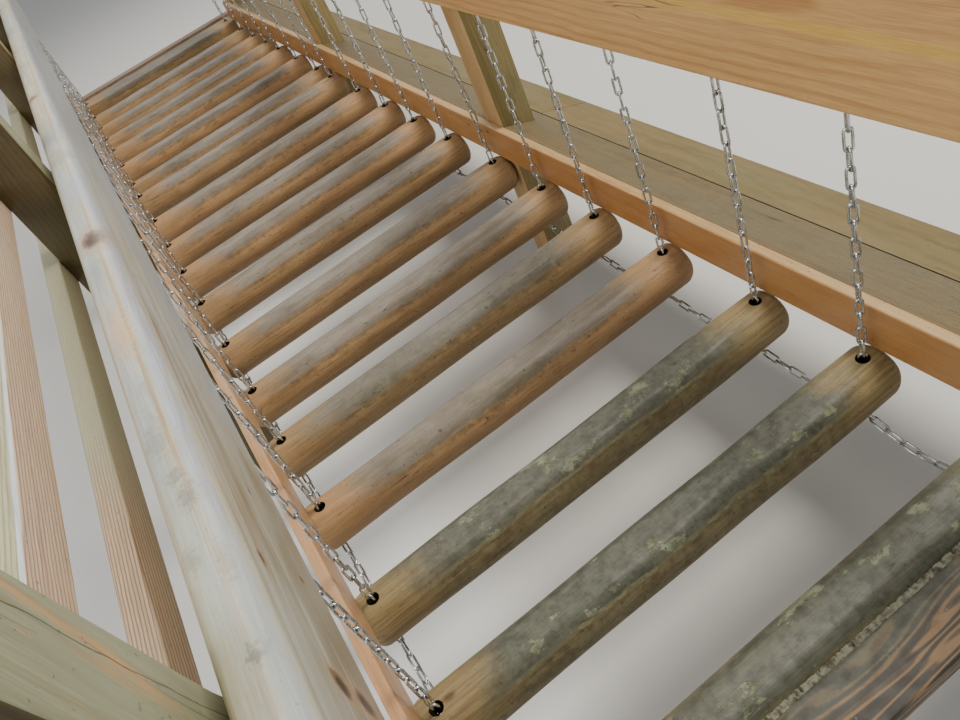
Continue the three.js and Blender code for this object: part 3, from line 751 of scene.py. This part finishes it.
def timber(name, outline, start, end, material, *, axis="Y", step=0.08, wobble=0.0, seed=0,
           bevel=0.003, lean=0.0, body="frame", nodes=(), slot="plank_wood"):
    """A solid with the given outline, run along one axis of the bridge.

    The outline is in (x, z) for axis Y and in (y, z) for axis X. Long pieces wander by
    a fraction of a millimetre, as sawn timber does, and their ends are eased. A leaning
    piece comes nearer, by that share of its height, and stays put at the lean level.
    """
    rng = np.random.default_rng(seed)
    waves = [(rng.uniform(0.6, 3.5), rng.uniform(0, 6.28), rng.uniform(-1, 1), rng.uniform(-1, 1))
             for _ in range(5)]
    count = max(2, int((end - start - 2 * bevel) / step) + 1)
    places = [(start, bevel), (start + bevel * 0.4, bevel * 0.35)]
    places += [(start + bevel + (end - start - 2 * bevel) * i / (count - 1), 0.0)
               for i in range(count)]
    places += [(end - bevel * 0.4, bevel * 0.35), (end, bevel)]
    loops = []
    for place, depth in places:
        drift = sum((Vector((u, v)) * math.sin(f * place + p) for f, p, u, v in waves),
                    Vector((0.0, 0.0))) * wobble / 2
        loop = []
        for point in inset(outline, depth) if depth else outline:
            point = point + drift
            if axis == "Y":
                slide = lean * (LEAN_LEVEL - point.y)
                loop.append(at(point.x, place + slide, point.y))
            else:
                loop.append(at(place, point.x, point.y))
        loops.append(loop)
    return make_piece(name, *loft(loops), material, body, nodes, slot)


# Timbers

def add_handrails():
    for label, side, material in (("left", -1, LEFT_RAIL_WOOD), ("right", 1, RIGHT_RAIL_WOOD)):
        outline = bar((RAIL_INNER, RAIL_BOTTOM), (RAIL_OUTER, RAIL_TOP),
                      (0.006, 0.006, RAIL_ARRIS, RAIL_ARRIS), side, steps=7)
        timber(f"{label}_handrail_beam", outline, 0.0, RAIL_LENGTH, material,
               nodes=[f"{label}_handrail"], slot=f"{label}_rail_wood")


def add_girders():
    for label, side, material in (("left", -1, LEFT_GIRDER_WOOD), ("right", 1, GIRDER_WOOD)):
        outline = bar((GIRDER_INNER, GIRDER_BOTTOM), (GIRDER_OUTER, GIRDER_TOP),
                      (0.004, 0.002, 0.002, 0.007), side)
        girder = timber(f"{label}_side_girder", outline, 0.0, GIRDER_LENGTH, material,
                        nodes=[f"{label}_girder"], slot="girder_wood")
        # Painted light: the top faces get the paler copy.
        paint_faces(girder, [((0, 0, 1), GIRDER_LIT_TOP_WOOD)])


def coves(seat):
    """Quarter-round hollows above and below a post's seat on the handrail."""
    width = POST_INNER - seat
    turns = [math.radians(90 * i / COVE_STEPS) for i in range(COVE_STEPS + 1)]
    above = [(seat + width * math.cos(a), SHOULDER_TOP + COVE_HEIGHT * (1 - math.sin(a)), 0.0)
             for a in turns]
    below = [(seat + width * math.sin(a), SHOULDER_BOTTOM - COVE_HEIGHT * (1 - math.cos(a)), 0.0)
             for a in turns]
    return above + below


def add_posts():
    outer = POST_INNER + POST_SIZE
    for label, side, lean, inboard, near in (
        ("left", -1, LEFT_POST_LEAN, POST_LIT_PALE_WOOD, POST_SHADED_DARK_WOOD),
        ("right", 1, 0.0, POST_LIT_GOLD_WOOD, POST_SHADED_OLIVE_WOOD),
    ):
        corners = [
            (POST_INNER, GROUND, 0.004),
            (outer, GROUND, 0.004),
            (outer, POST_TOP, 0.014),
            (POST_INNER, POST_TOP, 0.014),
            *coves(RAIL_OUTER + SEAT_GAP),
        ]
        outline = rounded([(side * a, b, radius) for a, b, radius in corners])
        for number in range(1, 5):
            node = f"{label}_post_{number}"
            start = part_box(node)[0].y - ORIGIN.y + lean * (POST_TOP - LEAN_LEVEL)
            post = timber(f"{node}_timber", outline, start, start + POST_SIZE, POST_WOOD,
                          step=0.03, bevel=0.004, lean=lean, nodes=[node], slot="post_wood")
            # Painted light on the inboard faces and painted shade on the near faces.
            paint_faces(post, [((-side, 0, 0), inboard), ((0, -1, 0), near)])


def kerb_point(distance, depth):
    return (
        POST_INNER + distance * math.cos(KERB_SLOPE) - depth * math.sin(KERB_SLOPE),
        GIRDER_TOP - distance * math.sin(KERB_SLOPE) - depth * math.cos(KERB_SLOPE),
    )


def grooved_top():
    """Corners down the inner plank's slope, with its fine grooves."""
    corners = []
    for i in range(1, GROOVE_COUNT):
        middle = GROOVE_MARGIN + GROOVED_WIDTH * i / GROOVE_COUNT
        for offset, depth in ((-0.22, 0.0), (0.0, GROOVE_DEPTH), (0.22, 0.0)):
            corners.append((*kerb_point(middle + GROOVE_SIZE * offset, depth), 0.0))
    return corners


def kerb_underside(x):
    fall = (x - POST_INNER) * math.tan(KERB_SLOPE)
    return GIRDER_TOP - fall - KERB_THICKNESS / math.cos(KERB_SLOPE)


def add_kerb():
    inner = rounded([
        (POST_INNER, kerb_underside(POST_INNER), 0.002),
        (*kerb_point(INNER_KERB_WIDTH, KERB_THICKNESS), 0.003),
        (*kerb_point(INNER_KERB_WIDTH, 0.0), 0.004),
        *reversed(grooved_top()),
        (POST_INNER, GIRDER_TOP, 0.002),
    ])
    plank = timber("inner_kerb_board", inner, 0.0, GIRDER_LENGTH, PLANK_WOOD, step=0.25,
                   bevel=0.0004, nodes=["inner_kerb_plank"])
    clearance = 0.002
    cutters = []
    for number in range(1, 5):
        low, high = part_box(f"right_post_{number}")
        far = high.y - ORIGIN.y + (clearance if number < 4 else POST_SIZE)
        near = low.y - ORIGIN.y - clearance
        cutters.append(cutter_box(
            (GIRDER_INNER, near, -0.05), (POST_INNER + POST_SIZE + clearance, far, 0.30)))
    carve(plank, cutters)

    first = INNER_KERB_WIDTH + KERB_GAP
    last = first + OUTER_KERB_WIDTH
    outer = rounded([
        (*kerb_point(first, KERB_THICKNESS), 0.003),
        (*kerb_point(last, KERB_THICKNESS), 0.003),
        (*kerb_point(last, 0.0), 0.005),
        (*kerb_point(first, 0.0), 0.004),
    ])
    # Both faces of the gap between the planks get painted shade.
    down = (math.cos(KERB_SLOPE), 0, -math.sin(KERB_SLOPE))
    paint_faces(plank, [(down, KERB_GAP_SHADE)])
    for where, start, end in (("near", 0.0, KERB_BUTT - clearance),
                              ("far", KERB_BUTT + clearance, GIRDER_LENGTH)):
        board = timber(f"outer_kerb_board_{where}", outer, start, end, OUTER_PLANK_WOOD,
                       nodes=[f"outer_kerb_plank_{where}"])
        paint_faces(board, [((-down[0], 0, -down[2]), KERB_GAP_SHADE)])


def cutter_box(low, high):
    work = bmesh.new()
    corners = [at(x, y, z) for x in (low[0], high[0]) for y in (low[1], high[1])
               for z in (low[2], high[2])]
    bmesh.ops.convex_hull(work, input=[work.verts.new(c) for c in corners])
    return cutter(work)


def cutter(work):
    mesh = bpy.data.meshes.new("cutter")
    bmesh.ops.recalc_face_normals(work, faces=work.faces)
    work.to_mesh(mesh)
    work.free()
    return put("cutter", mesh)


def carve(piece, tools, sharp_deg=SHARP_TIMBER):
    """Cuts the tools out of the piece for good and removes them."""
    for tool in tools:
        modifier = piece.modifiers.new("cut", "BOOLEAN")
        modifier.operation = "DIFFERENCE"
        modifier.solver = "EXACT"
        modifier.object = tool
    mesh = evaluated_mesh(piece)
    piece.modifiers.clear()
    mesh.name = piece.data.name
    piece.data = mesh
    for tool in tools:
        bpy.data.objects.remove(tool, do_unlink=True)
    finish_mesh(piece.data, sharp_deg)


def add_brackets():
    for number in range(1, 5):
        node = f"kerb_bracket_{number}"
        low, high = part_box(node)
        inner, tip = low.x - ORIGIN.x, high.x - ORIGIN.x
        inner_top, tip_top = (kerb_underside(x) - SEAT_GAP for x in (inner, tip))
        outline = rounded([
            (inner, inner_top - BRACKET_ROOT, 0.003),
            (tip, tip_top - BRACKET_TIP, 0.010),
            (tip, tip_top, 0.003),
            (inner, inner_top, 0.002),
        ])
        timber(f"{node}_timber", outline, low.y - ORIGIN.y, high.y - ORIGIN.y, POST_WOOD,
               step=0.03, nodes=[node], slot="post_wood")


def add_side_rails():
    for name in ("side_rail_low", "side_rail_high"):
        low, high = bridge_box(name)
        outline = bar((low.x, low.z), (high.x, high.z), (0.012, 0.004, 0.004, 0.012))
        rail = timber(f"{name}_timber", outline, low.y, high.y, SIDE_RAIL_WOOD, nodes=[name])
    # Painted sunlight on the high rail's inboard face; its top gets the top timber.
    paint_faces(rail, [((0, 0, 1), SIDE_RAIL_TOP_WOOD), ((1, 0, 0), SIDE_RAIL_SUNLIT_WOOD)])


# Logs

LOG_SIDES = 56
# The round of a log is a little fuller than its nominal one, and wear has flattened its top.
LOG_ROUND = LOG_RADIUS + 0.002
LOG_FLAT = 0.005


def log_loops(seed, half_length, nose, top_z):
    """Loops of a worn round log: flattened on top, faintly faceted and bull-nosed."""
    rng = np.random.default_rng(seed)
    angles = np.linspace(0, 2 * math.pi, LOG_SIDES, endpoint=False)
    lumps = [(rng.integers(2, 6), rng.uniform(0.3, 2.6), rng.uniform(0, 6.28), rng.uniform(0, 6.28))
             for _ in range(6)]
    dents = [(rng.uniform(-0.5, 0.5), rng.uniform(0.03, 0.12), rng.uniform(0.0006, 0.0022))
             for _ in range(7)]
    body = half_length - nose
    nose_loops = [(body + nose * math.sin(a), (LOG_ROUND - nose * (1 - math.cos(a))) / LOG_ROUND)
                  for a in np.linspace(0, math.pi / 2, 9)]
    places = [(-x, share) for x, share in nose_loops[::-1]]
    places += [(x, 1.0) for x in np.linspace(-body, body, 60)[1:-1]]
    places += nose_loops
    centre_z = top_z - LOG_ROUND + LOG_FLAT
    # The worn flat runs out over this height.
    soft = 0.0025
    loops = []
    for x, share in places:
        swell = sum(0.0004 * math.sin(f * x * 6 + p) for _, f, p, _ in lumps)
        radii = LOG_ROUND + swell + sum(
            0.00035 * np.sin(n * angles + q + f * x * 3) for n, f, _, q in lumps)
        radii = radii * share
        ys = radii * np.sin(angles)
        zs = radii * np.cos(angles)
        worn = LOG_FLAT + sum(0.0004 * math.sin(7 * f * x + p) for _, f, p, _ in lumps)
        worn += sum(d * math.exp(-((x - c) / w) ** 2) for c, w, d in dents)
        limit = LOG_ROUND - worn
        zs = np.where(zs > limit, limit + soft * np.tanh((zs - limit) / (soft * 8)), zs)
        loops.append([(x, y, centre_z + z) for y, z in zip(ys, zs)])
    return loops


def hole_cutter(x, y, top):
    work = bmesh.new()
    bmesh.ops.create_cone(
        work, cap_ends=True, segments=28, radius1=HOLE_RADIUS, radius2=HOLE_RADIUS,
        depth=2 * HOLE_DEPTH, matrix=Matrix.Translation(at(x, y, top)))
    return cutter(work)


# Share of mud and green film on a log, and how orange its wood is
MUD = {1: 1.0, 2: 0.9, 3: 0.15, 4: 0.35}
TONES = {3: 0.8, 4: 0.35, 8: 0.5, 9: 0.3, 10: 0.6, 11: 0.3, 13: 0.7, 14: 0.5, 16: 0.4}


def paint_log(piece, station, centre_z, radius, half_length, mud, tone):
    """Stores what the log material reads: place round and along the log, mud and tone."""
    mesh = piece.data
    count = len(mesh.vertices)
    places = np.empty(count * 3, np.float32)
    mesh.vertices.foreach_get("co", places)
    places = places.reshape(-1, 3) - np.array(at(0, station, centre_z), np.float32)
    values = {
        "high": places[:, 2] / radius,
        "side": places[:, 1] / radius,
        "span": np.abs(places[:, 0]) / half_length,
        "ring": np.hypot(places[:, 1], places[:, 2]),
        "end_grain": np.clip((np.abs(places[:, 0]) - half_length + 0.004) / 0.003, 0, 1),
        "mud": np.full(count, mud),
        "tone": np.full(count, tone),
    }
    for name, data in values.items():
        layer = mesh.attributes.new(name, "FLOAT", "POINT")
        layer.data.foreach_set("value", data.astype(np.float32))


def mark_hole_faces(piece, station, top):
    """The faces inside the drilled holes get the dark hole material, which is painted shade."""
    piece.data.materials.append(HOLE_SHADE)
    for polygon in piece.data.polygons:
        place = polygon.center - at(0, station, top)
        for x in (-CHAIN_X, CHAIN_X):
            away = math.hypot(place.x - x, place.y)
            if away < HOLE_RADIUS + 0.0004 and -HOLE_DEPTH - 0.001 < place.z < -0.006:
                polygon.material_index = 1


def drill(piece, station, top):
    """Both chain holes of a log, with painted shade inside."""
    carve(piece, [hole_cutter(x, station, top) for x in (-CHAIN_X, CHAIN_X)], SHARP_LOG)
    mark_hole_faces(piece, station, top)


def add_log(name, body, station, *, seed, mud, nodes, top=0.0, tone=0.0, holes=True,
            half_length=LOG_HALF_LENGTH, nose=0.030):
    loops = [[at(x, station + y, z) for x, y, z in loop]
             for loop in log_loops(seed, half_length, nose, top)]
    piece = make_piece(name, *loft(loops), LOG_TIMBER, body, nodes, "log_wood", SHARP_LOG)
    if holes:
        drill(piece, station, top)
    paint_log(piece, station, top - LOG_ROUND + LOG_FLAT, LOG_ROUND, half_length, mud, tone)


def add_flat_log(name, body, station, nodes):
    """The last log: broad, hewn flat on top, with a round underside."""
    half, depth, edge = 0.100, 0.136, 0.010
    radius = (half ** 2 + (depth - edge) ** 2) / (2 * (depth - edge))
    centre = radius - depth
    rise = math.asin((-edge - centre) / radius)
    count = 34
    corners = []
    for i in range(count + 1):
        angle = math.pi - rise + (math.pi + 2 * rise) * i / count
        corners.append((station + radius * math.cos(angle), centre + radius * math.sin(angle), 0))
    corners += [(station + side * (half - edge * 0.4), 0.0, 0.006) for side in (1, -1)]
    piece = timber(name, rounded(corners), -LOG_HALF_LENGTH, LOG_HALF_LENGTH, LOG_TIMBER, axis="X",
                   step=0.03, wobble=0.001, seed=77, bevel=0.016, body=body, nodes=nodes,
                   slot="log_wood")
    drill(piece, station, 0.0)
    paint_log(piece, station, -LOG_RADIUS, LOG_RADIUS, LOG_HALF_LENGTH, 0.15, 0.1)


# Chains

# Points round a link's wire, steps round each of its end bends, and its loose twist
LINK_SECTION = 8
LINK_TURNS = 7
LINK_TWIST = 0.16


def link_template():
    """One long link, lying along its local Z axis in its local XZ plane."""
    straight = (LINK_PITCH + 2 * WIRE_RADIUS - 2 * LINK_END_RADIUS) / 2
    path = []
    for end, first in ((1, 0.0), (-1, math.pi)):
        for i in range(LINK_TURNS + 1):
            angle = first + math.pi * i / LINK_TURNS
            path.append((LINK_END_RADIUS * math.cos(angle),
                         end * straight + LINK_END_RADIUS * math.sin(angle), angle))
    points = []
    for x, z, angle in path:
        outward = np.array((math.cos(angle), 0.0, math.sin(angle)))
        for k in range(LINK_SECTION):
            turn = 2 * math.pi * k / LINK_SECTION
            points.append(np.array((x, 0.0, z)) + WIRE_RADIUS * (
                math.cos(turn) * outward + math.sin(turn) * np.array((0.0, 1.0, 0.0))))
    faces = []
    count = len(path)
    for i in range(count):
        j = (i + 1) % count
        for k in range(LINK_SECTION):
            n = (k + 1) % LINK_SECTION
            faces.append((i * LINK_SECTION + k, j * LINK_SECTION + k,
                          j * LINK_SECTION + n, i * LINK_SECTION + n))
    return np.array(points), np.array(faces)


LINK_POINTS, LINK_FACES = link_template()


def chain(name, centres, directions, body, *, seed, first_turn=0.0, nodes=()):
    """A chain of links at the given centres, each turned a quarter from the last."""
    rng = np.random.default_rng(seed)
    all_points, all_faces = [], []
    for i, (centre, direction) in enumerate(zip(centres, directions)):
        axis = np.array(Vector(direction).normalized())
        helper = np.array((1.0, 0.0, 0.0)) if abs(axis[0]) < 0.9 else np.array((0.0, 1.0, 0.0))
        side = np.cross(helper, axis)
        side /= np.linalg.norm(side)
        other = np.cross(axis, side)
        turn = first_turn + (math.pi / 2) * (i % 2) + rng.uniform(-LINK_TWIST, LINK_TWIST)
        u = math.cos(turn) * side + math.sin(turn) * other
        v = np.cross(axis, u)
        turned = LINK_POINTS @ np.array((u, v, axis))
        all_points.append(turned + np.array(centre))
        all_faces.append(LINK_FACES + i * len(LINK_POINTS))
    return make_piece(name, np.concatenate(all_points), np.concatenate(all_faces), CHAIN_STEEL,
                      body, nodes, "chain_steel", SHARP_LINK)


STAPLE_WIRE, STAPLE_HALF_WIDTH, STAPLE_TURNS = 0.0026, 0.0085, 8


def add_staple(name, root, out, across, reach):
    """A bent wire that stands out of a face, with the end link of a chain in its bend."""
    path = [root - across * STAPLE_HALF_WIDTH]
    for i in range(STAPLE_TURNS + 1):
        angle = math.pi * i / STAPLE_TURNS
        path.append(root - across * STAPLE_HALF_WIDTH * math.cos(angle)
                    + out * (reach - STAPLE_HALF_WIDTH * (1 - math.sin(angle))))
    path.append(root + across * STAPLE_HALF_WIDTH)

    curve = bpy.data.curves.new(name, "CURVE")
    curve.dimensions = "3D"
    curve.bevel_depth = STAPLE_WIRE
    curve.bevel_resolution = 2
    curve.use_fill_caps = True
    spline = curve.splines.new("POLY")
    spline.points.add(len(path) - 1)
    for point, place in zip(spline.points, path):
        point.co = (*place, 1.0)
    bent = put(f"{name}_path", curve)
    mesh = evaluated_mesh(bent)
    bpy.data.objects.remove(bent, do_unlink=True)
    make_piece(name, [v.co for v in mesh.vertices], [f.vertices for f in mesh.polygons],
               CHAIN_STEEL, "frame", (), "chain_steel", SHARP_WIRE)
    bpy.data.meshes.remove(mesh)


# How far the first links of the hanging chains are turned, in radians
FIRST_TURNS = (0.55, 1.33, 2.12, 0.9, 0.3, 1.6, 0.7)
# A staple's root below the handrail's underside, and its reach past the chain's top
RAIL_STAPLE_ROOT, RAIL_STAPLE_LAP = 0.0005, 0.0035


def add_hanging_chains():
    for index, station in enumerate(STATIONS, start=1):
        for label, x in (("left", -CHAIN_X), ("right", CHAIN_X)):
            centres = [at(x, station, CHAIN_TOP - (i + 0.5) * LINK_PITCH)
                       for i in range(CHAIN_LINKS)]
            chain(f"{label}_chain_{index:02d}", centres, [(0, 0, -1)] * CHAIN_LINKS,
                  f"log_{index:02d}", seed=200 + index * 2 + (x > 0),
                  first_turn=FIRST_TURNS[(index - 1) % len(FIRST_TURNS)])
            add_staple(f"{label}_staple_{index:02d}",
                       at(x, station, RAIL_BOTTOM - RAIL_STAPLE_ROOT), Vector((0, 0, -1)),
                       Vector((0, 1, 0)), RAIL_BOTTOM - CHAIN_TOP + RAIL_STAPLE_LAP)


def run_links(route):
    """Centres and directions of links laid one after another along a route."""
    route = [np.array(p) for p in route]
    lengths = [0.0]
    for a, b in zip(route, route[1:]):
        lengths.append(lengths[-1] + float(np.linalg.norm(b - a)))
    count = int(lengths[-1] / LINK_PITCH)
    spare = (lengths[-1] - count * LINK_PITCH) / 2

    def place(distance):
        return np.array([np.interp(distance, lengths, [p[k] for p in route]) for k in range(3)])

    ends = [place(spare + i * LINK_PITCH) for i in range(count + 1)]
    centres = [(a + b) / 2 for a, b in zip(ends, ends[1:])]
    directions = [b - a for a, b in zip(ends, ends[1:])]
    return centres, directions


def hanging_route(start, end, sag):
    """Points from one place to another, lower in the middle by the sag."""
    points = []
    for t in np.linspace(0, 1, 9):
        points.append(start.lerp(end, t))
        points[-1].z -= sag * 4 * t * (1 - t)
    return points


def whole_link_route(start, end):
    """A hanging route that a whole number of links fills, with the least sag over 10 mm."""
    def links(sag):
        points = hanging_route(start, end, sag)
        return sum((b - a).length for a, b in zip(points, points[1:])) / LINK_PITCH

    count = math.ceil(links(0.010))
    low, high = 0.0, 0.12
    for _ in range(40):
        middle = (low + high) / 2
        low, high = (middle, high) if links(middle) < count else (low, middle)
    return hanging_route(start, end, high)


def add_tie_chains():
    """The chains under the logs; gives the places of both end bends of each."""
    ends = {}
    for label, seed in (("left", 399), ("right", 401)):
        hung = [at(TIE_X[label], station, TIE_LEVEL) for station in STATIONS]
        route = [point for a, b in zip(hung, hung[1:])
                 for point in hanging_route(a, b, TIE_SAG)[:-1]]
        centres, directions = run_links(route + hung[-1:])
        chain(f"{label}_tie_links", centres, directions, "tie_chains", seed=seed,
              first_turn=0.7, nodes=[f"{label}_tie_chain"])
        ends[label] = (Vector(centres[0] - directions[0] / 2),
                       Vector(centres[-1] + directions[-1] / 2))
    return ends


# The end ties start clear of the thresholds, in staples whose roots lie inside the timber.
TIE_CLEARANCE = 0.012
NEAR_STAPLE_ROOT, FAR_STAPLE_ROOT = 0.016, 0.015
FAR_TIE_LEVEL = -0.125


def add_end_ties(tie_ends):
    """The short chains that blend from staples in the thresholds to the tie chains' ends."""
    low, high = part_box("near_sill_log")
    sill_y = (low.y + high.y) / 2 - ORIGIN.y
    sill_under = low.z - ORIGIN.z - TIE_CLEARANCE
    board_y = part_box("far_threshold_board")[0].y - ORIGIN.y - TIE_CLEARANCE
    for label, seed in (("left", 500), ("right", 510)):
        x = TIE_X[label]
        for where, fixed, moving, body in (
            ("near", at(x, sill_y, sill_under), tie_ends[label][0], "log_01"),
            ("far", at(x, board_y, FAR_TIE_LEVEL), tie_ends[label][1], "log_18"),
        ):
            centres, directions = run_links(whole_link_route(fixed, moving))
            piece = chain(f"{label}_{where}_end_links", centres, directions, None,
                          seed=seed + len(where), nodes=[f"{label}_{where}_end_tie"])
            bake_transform(piece)
            axis = Vector(directions[0]).normalized()
            bend = Vector(centres[0]) - axis * (LINK_PITCH / 2 - STAPLE_WIRE)
            root, out = bend.copy(), Vector((0, 0, -1))
            if where == "near":
                root.z = fixed.z + NEAR_STAPLE_ROOT
            else:
                root.y, out = fixed.y + FAR_STAPLE_ROOT, Vector((0, -1, 0))
            add_staple(f"{label}_{where}_tie_staple", root, out, Vector((1, 0, 0)),
                       (bend - root).dot(out))


def add_logs():
    for index, station in enumerate(STATIONS, start=1):
        node = f"log_{index:02d}"
        name = f"{node}_timber"
        if index == LOG_COUNT:
            add_flat_log(name, node, station, [node])
            continue
        add_log(name, node, station, seed=100 + index, mud=MUD.get(index, 0.0),
                tone=TONES.get(index, 0.1), nodes=[node])


FAR_BOARD_DEPTH = 0.150
STAKE_SIZE, STAKE_X, STAKE_DROP = 0.070, 0.520, 0.020
SAWN_WOBBLE = 0.0006
SILL_DROP = 0.0005


def add_thresholds():
    low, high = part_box("near_sill_log")
    add_log("near_sill_timber", "frame", (low.y + high.y) / 2 - ORIGIN.y, seed=90,
            top=high.z - ORIGIN.z - SILL_DROP, mud=0.95, holes=False,
            half_length=(high.x - low.x) / 2, nose=0.008, nodes=["near_sill_log"])

    low, high = bridge_box("near_threshold_plank")
    outline = bar((low.y, low.z), (high.y, high.z), (0.004, 0.004, 0.010, 0.006))
    timber("near_threshold_board", outline, low.x, high.x, SILL_WOOD, axis="X", seed=91,
           wobble=SAWN_WOBBLE, nodes=["near_threshold_plank"])
    add_joint_dirt(high.y, high.z, low.x, high.x)

    low, high = bridge_box("far_threshold_board")
    front = high.y - STAKE_SIZE
    outline = bar((low.y, -FAR_BOARD_DEPTH), (front, 0.0), (0.004, 0.004, 0.006, 0.008))
    timber("far_threshold_timber", outline, low.x, high.x, FAR_BOARD_WOOD, axis="X", seed=92,
           wobble=SAWN_WOBBLE, nodes=["far_threshold_board"])
    for label, x in (("left", -STAKE_X), ("right", STAKE_X)):
        outline = bar((x - STAKE_SIZE / 2, GROUND), (x + STAKE_SIZE / 2, -STAKE_DROP),
                      (0.004, 0.004, 0.006, 0.006))
        timber(f"{label}_threshold_stake", outline, front + SEAT_GAP, high.y, POST_WOOD, step=0.03)


def add_joint_dirt(edge, top, start, end):
    """A lumpy strip of dried dirt and grit in the joint beside the sill."""
    rng = np.random.default_rng(95)
    count, width, margin, bottom = 320, 0.0150, 0.02, top - 0.030
    depths = 0.011 + 0.005 * np.convolve(rng.uniform(-1, 1, (count, 6)).ravel(),
                                         np.ones(5) / 3, "same").reshape(count, 6)
    loops = []
    for i in range(count):
        x = start + margin + (end - start - 2 * margin) * i / (count - 1)
        loop = [at(x, edge + width * j / 5, top - depths[i, j] - 0.002 * (j / 5))
                for j in range(6)]
        loops.append(loop + [at(x, edge + width, bottom), at(x, edge, bottom)])
    make_piece("joint_dirt", *loft(loops), JOINT_DIRT, "frame", (), "plank_wood")


# Stage

def add_stage():
    mesh = bpy.data.meshes.new("studio_floor")
    reach = 60.0
    mesh.from_pydata([(-reach, -reach, 0), (reach, -reach, 0), (reach, reach, 0),
                      (-reach, reach, 0)], [], [(0, 1, 2, 3)])
    graph = Graph("studio_floor")
    graph.colour = (214, 212, 206)
    mesh.materials.append(graph.finish(0.9))
    floor = put("studio_floor", mesh)


def add_lights():
    world = bpy.data.worlds.new("studio")
    bpy.context.scene.world = world
    world.use_nodes = True
    background = world.node_tree.nodes["Background"]
    background.inputs["Color"].default_value = (0.92, 0.95, 1.0, 1.0)
    background.inputs["Strength"].default_value = 0.40
    lights = (
        ("key_light", (3.0, 1.4, 6.3), (-0.3, 1.8, 0.0), 2.4, 500.0, (1.0, 0.96, 0.88)),
        ("fill_light", (-4.5, 0.5, 4.2), (0.3, 1.8, 0.3), 4.0, 190.0, (0.95, 0.97, 1.0)),
        ("far_light", (1.0, 9.0, 5.0), (0.0, 5.0, 0.0), 4.0, 200.0, (1.0, 0.98, 0.94)),
    )
    for name, place, target, size, power, colour in lights:
        data = bpy.data.lights.new(name, "AREA")
        data.size = size
        data.energy = power
        data.color = colour
        light = put(name, data)
        light.location = at(*place)
        aim = at(*target) - at(*place)
        light.rotation_euler = aim.to_track_quat("-Z", "Y").to_euler()


def add_camera():
    data = bpy.data.cameras.new("photo_camera")
    data.sensor_width = SENSOR_WIDTH
    data.lens = FOCAL_PIXELS * SENSOR_WIDTH / PHOTO_WIDTH
    data.clip_start, data.clip_end = 0.02, 200.0
    camera = put("photo_camera", data)
    axes = Matrix((CAMERA_RIGHT, -CAMERA_DOWN, -CAMERA_FORWARD)).transposed()
    camera.matrix_world = Matrix.Translation(at(*CAMERA_PLACE)) @ axes.to_4x4()
    bpy.context.scene.camera = camera


add_camera()
add_handrails()
add_girders()
add_posts()
add_kerb()
add_brackets()
add_side_rails()
add_logs()
add_thresholds()
add_hanging_chains()
add_end_ties(add_tie_chains())
add_lights()
add_stage()
